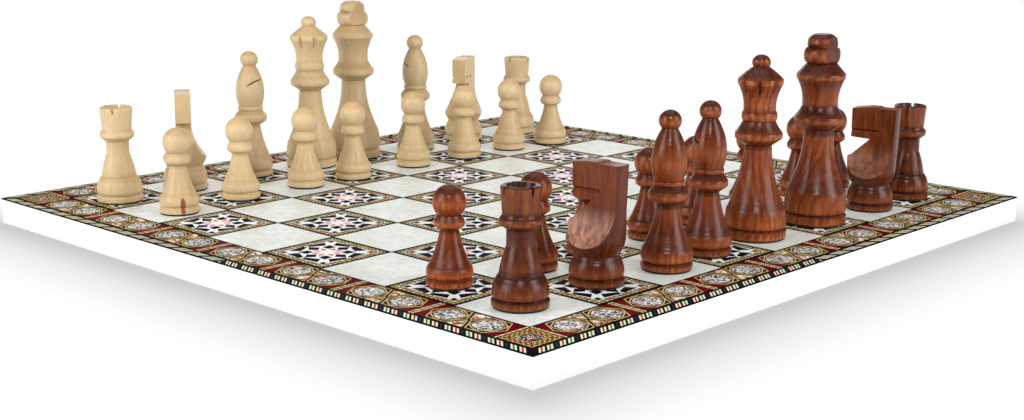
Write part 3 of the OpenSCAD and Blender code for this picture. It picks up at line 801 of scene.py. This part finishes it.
# From the outside in: the width of the ring before, and the wood of all that is left within it
MEDALLION_RINGS = [(0.25 * MM, "wheat"), (0.5 * MM, "brown"), (0.2 * MM, "ebony"), (0.4 * MM, "silver")]
CORNER_CUT = 0.5 * MM  # how far inside the outline the black corners are cut off


def medallion(radius, outline):
    """A six-sided medallion: a gold outline, black corners, a second outline and a round of silver mosaic"""
    select_none()
    bpy.ops.mesh.primitive_circle_add(
        vertices=MEDALLION_SIDES, radius=radius, fill_type="NGON",
        location=(0, 0, TOP), rotation=(0, 0, QUARTER),
    )
    piece = bpy.context.object
    bpy.ops.object.transform_apply()
    for wood in woods("wheat", "ebony", "brown", "silver"):
        piece.data.materials.append(wood)
    corners_off = radius * FLAT_SHARE - outline - CORNER_CUT
    with editing(piece):
        give(piece, "wheat")
        bpy.ops.mesh.inset(thickness=outline)
        give(piece, "ebony")
        for i in range(MEDALLION_SIDES):
            out = polar(1, 360 / MEDALLION_SIDES * i)
            pick_largest(piece)
            saw(out * corners_off, out * corners_off + out.orthogonal())
        pick_largest(piece)
        for width, wood in MEDALLION_RINGS:
            bpy.ops.mesh.inset(thickness=width)
            give(piece, wood)
    return piece


# The dashed stripe at the end of a unit of the border, from that end
STRIPE_AT = 0.45 * MM
STRIPE_W = 0.85 * MM
STRIPE_DASH = 1.75 * MM
STRIPE_PITCH = 1.9 * MM
WEDGE_AT = 1.7 * MM  # from a unit's end to its dark red wedge
SEAM = 0.2 * MM  # black between two pieces of the border


def beside(tip, distance):
    """Where a line at a distance from a medallion's slanted side crosses the band's middle"""
    return tip + distance * 2 / STEEP


def border_quarter(unit, radius, sizes):
    """A quarter of one unit of the border: from its end at -X to its middle, above the band's middle line"""
    colours = bpy.context.scene.chess_inlay_colours
    flecks = flecked_wood(colours.cream, colours.pink, colours.orange, colours.brown)
    used = [*woods("ebony", "cream", "garnet", "wheat"), flecks]
    piece = sheet("border_unit", point(-unit / 2, 0), point(0, HALF_BAND), used)
    top = MEDALLION_FLAT
    run = top / STEEP  # of a slanted side along the band
    end = -unit / 2
    middle = -(radius + sizes.tip_gap / 2)
    far = middle - radius
    near = middle + radius

    with editing(piece):
        stripe = end + STRIPE_AT
        for i in range(math.ceil(HALF_BAND / STRIPE_PITCH)):
            bottom = i * STRIPE_PITCH + SEAM
            dash = upright(stripe, stripe + STRIPE_W, bottom, bottom + STRIPE_DASH)
            let_in(piece, dash, ("cream", "wheat")[i % 2])
        wedge = end + WEDGE_AT
        low = beside(far, -2 * SEAM)
        let_in(piece, [(wedge, SEAM), (low + SEAM / STEEP, SEAM), (low + run, top), (wedge, top)], "garnet")
        low = beside(near, sizes.diagonal)
        high = beside(near, sizes.diagonal + sizes.thread)
        let_in(piece, [(low, 0), (high, 0), (high - run, top), (low - run, top)], "wheat")
        low = beside(near, sizes.diagonal + sizes.thread + SEAM)
        high = max(low, 0) + PAST_EDGE
        let_in(piece, [(low, 0), (high, 0), (high, top), (low - run, top)], "flecked")
        # The hole for the medallion
        side = radius / 2
        let_in(piece, [(far, 0), (near, 0), (middle + side, top), (middle - side, top)], "ebony")
        bpy.ops.mesh.delete(type="FACE")
    return piece


class CHESS_OT_border(bpy.types.Operator):
    """Inlay the four border strips and their medallions"""

    bl_idname = "chess.border"
    bl_label = "Medallion border"

    def execute(self, context):
        sizes = context.scene.chess_inlay
        unit = 2 * FIELD_EDGE / sizes.pairs
        radius = MEDALLION_FLAT / FLAT_SHARE
        quarter = border_quarter(unit, radius, sizes)
        flips = [copied(quarter, Matrix.Diagonal((x, y, 1, 1))) for x, y in ((1, -1), (-1, 1), (-1, -1))]
        strip_unit = tidied(joined([quarter, *flips], "border_unit"))
        jewel = medallion(radius, sizes.outline)
        reach = radius + sizes.tip_gap / 2
        units = []
        jewels = []
        for side in range(len(SIDES)):
            for i in range(sizes.pairs):
                place = moved(0, 0, side * QUARTER) @ moved((i + 0.5) * unit - FIELD_EDGE, -BAND_MIDDLE)
                units.append(copied(strip_unit, place))
                jewels += [copied(jewel, place @ moved(half * reach, 0)) for half in (-1, 1)]
        bpy.data.objects.remove(strip_unit)
        bpy.data.objects.remove(jewel)
        nodes = ["border_" + side for side in SIDES]
        inlaid(units, "border_inlay", "border_veneer", *nodes, "border_wedges", "border_triangles")
        inlaid(jewels, "medallion_inlays", "medallion_veneer", "medallions", "medallion_rings")
        return {"FINISHED"}


# Rows of dashes round the panel of a corner block, from the inside out
CORNER_ROWS = [
    (0.25 * MM, 0.7 * MM, ("gold", "orange")),
    (1.3 * MM, 0.7 * MM, ("brown", "gold")),
    (2.35 * MM, 0.7 * MM, ("gold", "brown")),
    (3.4 * MM, 0.75 * MM, ("orange", "gold")),
]


class CHESS_OT_corner_blocks(bpy.types.Operator):
    """Inlay the four corner blocks"""

    bl_idname = "chess.corner_blocks"
    bl_label = "Corner blocks"

    def execute(self, context):
        sizes = context.scene.chess_inlay
        block = star_block(
            "corner_mosaics", HALF_BAND, sizes.corner_panel, "silver", CORNER_ROWS, sizes.corner_dash,
            sizes.corner_gap,
        )
        ends = (-BAND_MIDDLE, BAND_MIDDLE)
        blocks = [copied(block, moved(x, y)) for x in ends for y in ends]
        bpy.data.objects.remove(block)
        inlaid(blocks, "corner_mosaics", "gold_dash_veneer", "corner_blocks", "corner_panels")
        return {"FINISHED"}


# The bars of the edging in one repeat, as (place in widths of a bar, wood)
BARS = [
    (0, "ivory"), (1, "red"), (2, "ivory"), (4.27, "ivory"), (5.27, "green"), (6.27, "ivory"), (8.7, "slate")
]
BARS_OUT = 0.5 * MM  # black ground outside the bars
BARS_IN = 1.6 * MM  # black ground inside the bars


def in_row(low, high, edges):
    """A test for faces between two heights and on the left of every edge"""
    def test(face):
        middle = face.calc_center_median().xy
        return low < middle.y < high and within(edges, middle)
    return test


class CHESS_OT_edging(bpy.types.Operator):
    """Inlay the slanted bars of the outer edging"""

    bl_idname = "chess.edging"
    bl_label = "Barred edging"

    def execute(self, context):
        sizes = context.scene.chess_inlay
        width = BOARD_EDGE - BAND_EDGE
        corner = point(-BOARD_EDGE, -BOARD_EDGE)
        used = woods("ebony", "ivory", "red", "green", "slate")
        piece = sheet("edging_inlay", corner, point(0, -BAND_EDGE), used)
        low = -BOARD_EDGE + BARS_OUT
        high = -BAND_EDGE - BARS_IN
        lean = point(width, width)
        with editing(piece):
            for y in (low, high):
                pick_all(piece)
                saw(point(-BOARD_EDGE, y), point(0, y))
            last = corner - point(width, 0)
            for group in range(math.ceil(BOARD_EDGE / sizes.bar_group)):
                for step, wood in BARS:
                    along = sizes.bar_start + group * sizes.bar_group + step * sizes.bar
                    near = corner + point(along, 0)
                    far = near + point(sizes.bar, 0)
                    for foot in (near, far):
                        if pick(piece, in_row(low, high, [(last + lean, last)])):
                            saw(foot, foot + lean)
                        last = foot
                    if pick(piece, in_row(low, high, [(near + lean, near), (far, far + lean)])):
                        give(piece, wood)
            pick_all(piece)
            saw(point(-BAND_EDGE, -BAND_EDGE), corner, drop_right=True)
        halves = [piece, copied(piece, Matrix.Diagonal((-1, 1, 1, 1)))]
        strip = tidied(joined(halves, "edging_inlay"))
        strips = [copied(strip, moved(0, 0, side * QUARTER)) for side in range(1, len(SIDES))]
        nodes = ["edging_" + side for side in SIDES]
        inlaid([strip, *strips], "edging_inlay", "edging_veneer", *nodes, "edging_bars")
        return {"FINISHED"}


RIM_SMOOTH = math.radians(40)  # edges that turn by more stay sharp


class CHESS_OT_carcass(bpy.types.Operator):
    """Make the white rim, and finish the core and the backing"""

    bl_idname = "chess.carcass"
    bl_label = "Rim, core and backing"

    def execute(self, context):
        settings = context.scene.chess_woods
        lacquer = white_lacquer(settings.lacquer)
        corner = point(BOARD_EDGE, BOARD_EDGE)
        rim = sheet("white_rim", -corner, corner, [lacquer])
        with editing(rim):
            bpy.ops.transform.translate(value=(0, 0, BED - TOP))
            bpy.ops.mesh.inset(thickness=settings.rim_w)
            bpy.ops.mesh.delete(type="FACE")
        thickened(rim, BED)
        with editing(rim):
            bpy.ops.mesh.select_all(action="DESELECT")
            bpy.context.tool_settings.mesh_select_mode = (False, True, False)
            for edge in bmesh.from_edit_mesh(rim.data).edges:
                middle = (edge.verts[0].co + edge.verts[1].co) / 2
                outer = max(abs(middle.x), abs(middle.y)) > BOARD_EDGE - NEAR
                edge.select_set(outer and middle.z < BED - NEAR)
            bpy.ops.mesh.bevel(offset=settings.edge_round, segments=3, affect="EDGES")
        only(rim)
        bpy.ops.object.shade_smooth_by_angle(angle=RIM_SMOOTH)
        laid(rim, "white_lacquer", *("lipping_" + side for side in SIDES))
        dress("core_panel", raw_board())
        dress("backing_sheet", backing_paper())
        return {"FINISHED"}


# Men

GLOSS = {"dark": 0.24, "light": 0.3}
MEN_SMOOTH = math.radians(38)  # edges that turn by more stay sharp
STAIN_SPREAD = (0.93, 1.07)  # from the least stained man of a kind to the most
KNOTTED = "light_pawn_1"
KNOT_PLACE = (-3.9 * MM, -8.8 * MM, TOP + 5 * MM)  # from where its axis meets the table

# Stain and painted shade, as a share of the most that the wood can take
GROOVE_STAIN_AND_SHADE = 0.8  # at the bottom of a deep groove: stain pooled there, with painted shade
UNDERSIDE_BOUNCE_LIGHT = 0.6  # less of it where the groove faces down: painted bounce light from below
UPWARD_STAIN_AND_SHADE = 0.55  # on faces that look up: end-grain stain, with painted shade from above
FLAT_STAIN = 0.2  # on the sawn flats of a knight's head
ROUND_STAIN_AND_SHADE = 0.46  # on the rounded sides of that head and breast, and under its jaw: deeper stain, with painted shade

# A knight's faces are told apart by how far their normals turn up, along its sawn sides and out of them
UPRIGHT_UP = 0.1  # up or down, at most, on an upright face
ROUNDED_ALONG = 0.1  # at least, on a rounded face
ROUNDED_UP = -0.05  # at most, on the underside of the jaw
HOLLOW_UP = (0.01, 0.95)  # least and most on a sanded hollow
HOLLOW_ALONG = 0.05  # at most
HOLLOW_OUT = 0.2  # at least
SANDED_SHARE = 0.7  # of a knight's height, below which its sides are sanded hollow
SANDED_FADE = 2.2  # how many times faster than the hollow's depth its bare wood comes in
SHADED_HOLLOWS_BARE = {"dark_knight_2": 0.4}  # how bare its hollows are: dark_knight_2's are kept darker, as painted shade


def mark_stain_and_shade(piece, axis, turned_to, window=2.4 * MM, depth=1.6 * MM, step=0.3 * MM):
    """Stores on each corner of a face how dark it comes out, stain and painted shade together: more in a
    groove and on faces that look up, less where a groove faces down, as painted bounce light, and above the
    turned part the even stain of the sawn flats. A groove's depth is measured from the widest part within a
    window above and below it."""
    points = np.array([vertex.co for vertex in piece.data.vertices])
    rise = np.array([vertex.normal.z for vertex in piece.data.vertices])
    out = np.hypot(points[:, 0] - axis.x, points[:, 1] - axis.y)
    level = ((points[:, 2] - TOP) / step).astype(int)
    widest = np.zeros(level.max() + 1)
    np.maximum.at(widest, level, out)
    reach = int(window / step)
    windows = [widest[max(0, i - reach):i + reach + 1] for i in range(len(widest))]
    round_about = np.array([window.max() for window in windows])
    # Grooves darker: stain pooled there, with painted shade; a groove's face that looks down keeps some
    # painted bounce light
    hollow = np.clip((round_about[level] - out) / depth, 0, 1)
    hollow *= 1 - UNDERSIDE_BOUNCE_LIGHT * np.clip(-rise, 0, 1)
    # Faces that look up darker: end-grain stain, with painted shade from above
    stain = np.clip(GROOVE_STAIN_AND_SHADE * hollow + UPWARD_STAIN_AND_SHADE * np.clip(rise, 0, 1), 0, 1)
    stain[points[:, 2] > turned_to] = FLAT_STAIN
    taken = piece.data.attributes.new("stain", "FLOAT", "CORNER").data
    for loop in piece.data.loops:
        taken[loop.index].value = stain[loop.vertex_index]


def sawn_side(mesh):
    """The directions out of a knight's sawn side, which is its largest upright face, and along it"""
    upright_faces = [face for face in mesh.polygons if abs(face.normal.z) < UPRIGHT_UP]
    out = max(upright_faces, key=lambda face: face.area).normal
    return out, out.cross(Vector((0, 0, 1)))


def mark_rounded(piece, above):
    """Gives the rounded sides of a knight's head and breast, and the underside of its jaw, their deeper
    stain with painted shade
    """
    mesh = piece.data
    along = sawn_side(mesh)[1]
    taken = mesh.attributes["stain"].data
    for face in mesh.polygons:
        rounded = abs(face.normal.dot(along)) > ROUNDED_ALONG or face.normal.z < ROUNDED_UP
        if rounded and face.center.z > above:
            for loop in face.loop_indices:
                # Painted shade on the rounded faces and under the jaw, with their deeper stain
                taken[loop].value = ROUND_STAIN_AND_SHADE


def mark_sanding(piece, low, high, share):
    """Stores how bare the faces are that the sanding drum has hollowed in a knight's sides, which face out
    and up: not at all at the top of a hollow, and by the full share in its lower part"""
    mesh = piece.data
    out, along = sawn_side(mesh)
    hollows = [
        face for face in mesh.polygons
        if low < face.center.z < high and HOLLOW_UP[0] < face.normal.z < HOLLOW_UP[1]
        and abs(face.normal.dot(along)) < HOLLOW_ALONG and abs(face.normal.dot(out)) > HOLLOW_OUT
    ]
    points = [mesh.vertices[corner].co.z for face in hollows for corner in face.vertices]
    top, bottom = max(points), min(points)
    bare = mesh.attributes.new("sanded", "FLOAT", "CORNER").data
    for face in hollows:
        for loop in face.loop_indices:
            down = (top - mesh.vertices[mesh.loops[loop].vertex_index].co.z) / (top - bottom)
            bare[loop].value = share * min(1, SANDED_FADE * down)


def halfway(values):
    """Halfway between the lowest and the highest"""
    return (min(values) + max(values)) / 2


def lacquered_man(node):
    """A man turned smooth: a merged copy of its node, in its own wood, on black felt"""
    settings = bpy.context.scene.chess_woods
    colour, kind = node.split("_")[:2]
    piece = bpy.data.objects.new(node + "_lacquered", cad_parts[node].data.copy())
    bpy.context.scene.collection.objects.link(piece)
    with editing(piece):
        bpy.ops.mesh.remove_doubles(threshold=SAME_CORNER)
    low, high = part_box(node)
    felt_to = TOP + settings.felt_top
    foot = [vertex.co for vertex in piece.data.vertices if vertex.co.z < felt_to]
    axis = Vector((halfway([place.x for place in foot]), halfway([place.y for place in foot]), 0))
    dice = random.Random(MEN.index(node))
    strength = STAINS[colour][kind] * dice.uniform(*STAIN_SPREAD)
    tones = [scaled(getattr(settings, colour + "_" + part), strength) for part in ("deep", "body", "flame")]
    bare = None
    turned_to = high.z
    if kind == "knight":
        turned_to = TOP + settings.knight_foot
        bare = getattr(settings, colour + "_bare")
    knot = axis + Vector(KNOT_PLACE) if node == KNOTTED else None
    wood = turned_wood(
        "wood_" + node, colour, tones, settings.ring, FIGURES.get(kind, PLAIN_FIGURE), axis, dice,
        gloss=GLOSS[colour], bare=bare, knot=knot,
    )
    piece.data.materials.clear()
    piece.data.materials.append(wood)
    piece.data.materials.append(bpy.data.materials.get("felt") or felt(settings.felt))
    for face in piece.data.polygons:
        face.material_index = 1 if face.center.z < felt_to else 0
    mark_stain_and_shade(piece, axis, turned_to)
    if kind == "knight":
        mark_rounded(piece, turned_to)
        # dark_knight_2's hollows are left less bare: painted shade
        mark_sanding(piece, turned_to, low.z + SANDED_SHARE * (high.z - low.z), SHADED_HOLLOWS_BARE.get(node, 1))
    only(piece)
    bpy.ops.mesh.customdata_custom_splitnormals_clear()
    bpy.ops.object.shade_smooth_by_angle(angle=MEN_SMOOTH)
    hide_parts(node)
    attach(piece, node)


class MenOperator:
    """Finishes the men of one kind, in both woods"""

    kind = ""

    def execute(self, context):
        for node in MEN:
            if node.split("_")[1] == self.kind:
                lacquered_man(node)
        return {"FINISHED"}


class CHESS_OT_kings(MenOperator, bpy.types.Operator):
    """Finish the two kings"""

    bl_idname = "chess.kings"
    bl_label = "Kings"
    kind = "king"


class CHESS_OT_queens(MenOperator, bpy.types.Operator):
    """Finish the two queens"""

    bl_idname = "chess.queens"
    bl_label = "Queens"
    kind = "queen"


class CHESS_OT_bishops(MenOperator, bpy.types.Operator):
    """Finish the four bishops"""

    bl_idname = "chess.bishops"
    bl_label = "Bishops"
    kind = "bishop"


class CHESS_OT_knights(MenOperator, bpy.types.Operator):
    """Finish the four knights"""

    bl_idname = "chess.knights"
    bl_label = "Knights"
    kind = "knight"


class CHESS_OT_rooks(MenOperator, bpy.types.Operator):
    """Finish the four rooks"""

    bl_idname = "chess.rooks"
    bl_label = "Rooks"
    kind = "rook"


class CHESS_OT_pawns(MenOperator, bpy.types.Operator):
    """Finish the sixteen pawns"""

    bl_idname = "chess.pawns"
    bl_label = "Pawns"
    kind = "pawn"


# Stage

FLOOR_SIDE = 14  # metres
# Each light's name, place, width, height, and the setting that holds its power
LIGHTS = [
    ("softbox_over", (0.15, 0.15, 1.5), 1.4, 1.4, "over"),
    ("softbox_left", (-1.3, 0.35, 0.6), 0.7, 1.0, "side"),
    ("softbox_right", (0.35, -1.3, 0.6), 0.7, 1.0, "side"),
    ("light_front", (-0.95, -0.9, 1.0), 0.22, 0.22, "front"),
    ("light_behind", (1.2, 1.2, 0.5), 1.2, 0.4, "back"),
]


def softbox(name, at, width, height, watts):
    """An area light that faces the middle of the board"""
    select_none()
    bpy.ops.object.light_add(type="AREA", location=at)
    light = bpy.context.object
    light.name = name
    light.data.shape = "RECTANGLE"
    light.data.size = width
    light.data.size_y = height
    light.data.energy = watts
    light.rotation_euler = (Vector((0, 0, TOP)) - Vector(at)).to_track_quat("-Z", "Y").to_euler()


class CHESS_OT_studio(bpy.types.Operator):
    """Set the floor, the lights and the camera"""

    bl_idname = "chess.studio"
    bl_label = "Studio"

    def execute(self, context):
        studio = context.scene.chess_studio
        select_none()
        bpy.ops.mesh.primitive_plane_add(size=FLOOR_SIDE, location=(0, 0, 0))
        floor = bpy.context.object
        floor.name = "studio_floor"
        floor.data.materials.append(studio_paper(studio.paper, studio.shade, studio.shade_reach))

        for name, at, width, height, setting in LIGHTS:
            softbox(name, at, width, height, getattr(studio, setting))

        world = bpy.data.worlds.new("studio_walls")
        world.use_nodes = True
        walls = world.node_tree.nodes["Background"]
        walls.inputs["Color"].default_value = (1, 1, 1, 1)
        walls.inputs["Strength"].default_value = studio.ambient
        context.scene.world = world
        context.scene.view_settings.view_transform = "Standard"

        data = bpy.data.cameras.new("camera")
        data.lens = studio.lens
        camera = bpy.data.objects.new("camera", data)
        context.scene.collection.objects.link(camera)
        camera.location = studio.camera_at
        aim = Vector(studio.camera_to).to_track_quat("-Z", "Y")
        camera.rotation_euler = (aim.to_matrix() @ Matrix.Rotation(studio.roll, 3, "Z")).to_euler()
        context.scene.camera = camera
        return {"FINISHED"}


OPERATORS = [
    CHESS_OT_studio,
    CHESS_OT_carcass,
    CHESS_OT_plain_squares,
    CHESS_OT_mosaic_squares,
    CHESS_OT_border,
    CHESS_OT_corner_blocks,
    CHESS_OT_edging,
    CHESS_OT_kings,
    CHESS_OT_queens,
    CHESS_OT_bishops,
    CHESS_OT_knights,
    CHESS_OT_rooks,
    CHESS_OT_pawns,
]


class CHESS_PT_set(bpy.types.Panel):
    """Lists the operators and the settings of the chess set"""

    bl_idname = "CHESS_PT_set"
    bl_label = "Chess set"
    bl_space_type = "VIEW_3D"
    bl_region_type = "UI"
    bl_category = "Chess"

    def draw(self, context):
        for operator in OPERATORS:
            self.layout.operator(operator.bl_idname)
        for group, kind in SETTINGS.items():
            for name in kind.__annotations__:
                self.layout.prop(getattr(context.scene, group), name)


CLASSES = [*SETTINGS.values(), *OPERATORS, CHESS_PT_set]


def register():
    for kind in CLASSES:
        bpy.utils.register_class(kind)
    for group, kind in SETTINGS.items():
        setattr(bpy.types.Scene, group, PointerProperty(type=kind))


def unregister():
    for group in SETTINGS:
        delattr(bpy.types.Scene, group)
    for kind in reversed(CLASSES):
        bpy.utils.unregister_class(kind)


def main():
    register()
    for operator in OPERATORS:
        name = operator.bl_idname.split(".")[1]
        getattr(bpy.ops.chess, name)()


if __name__ == "__main__":
    main()
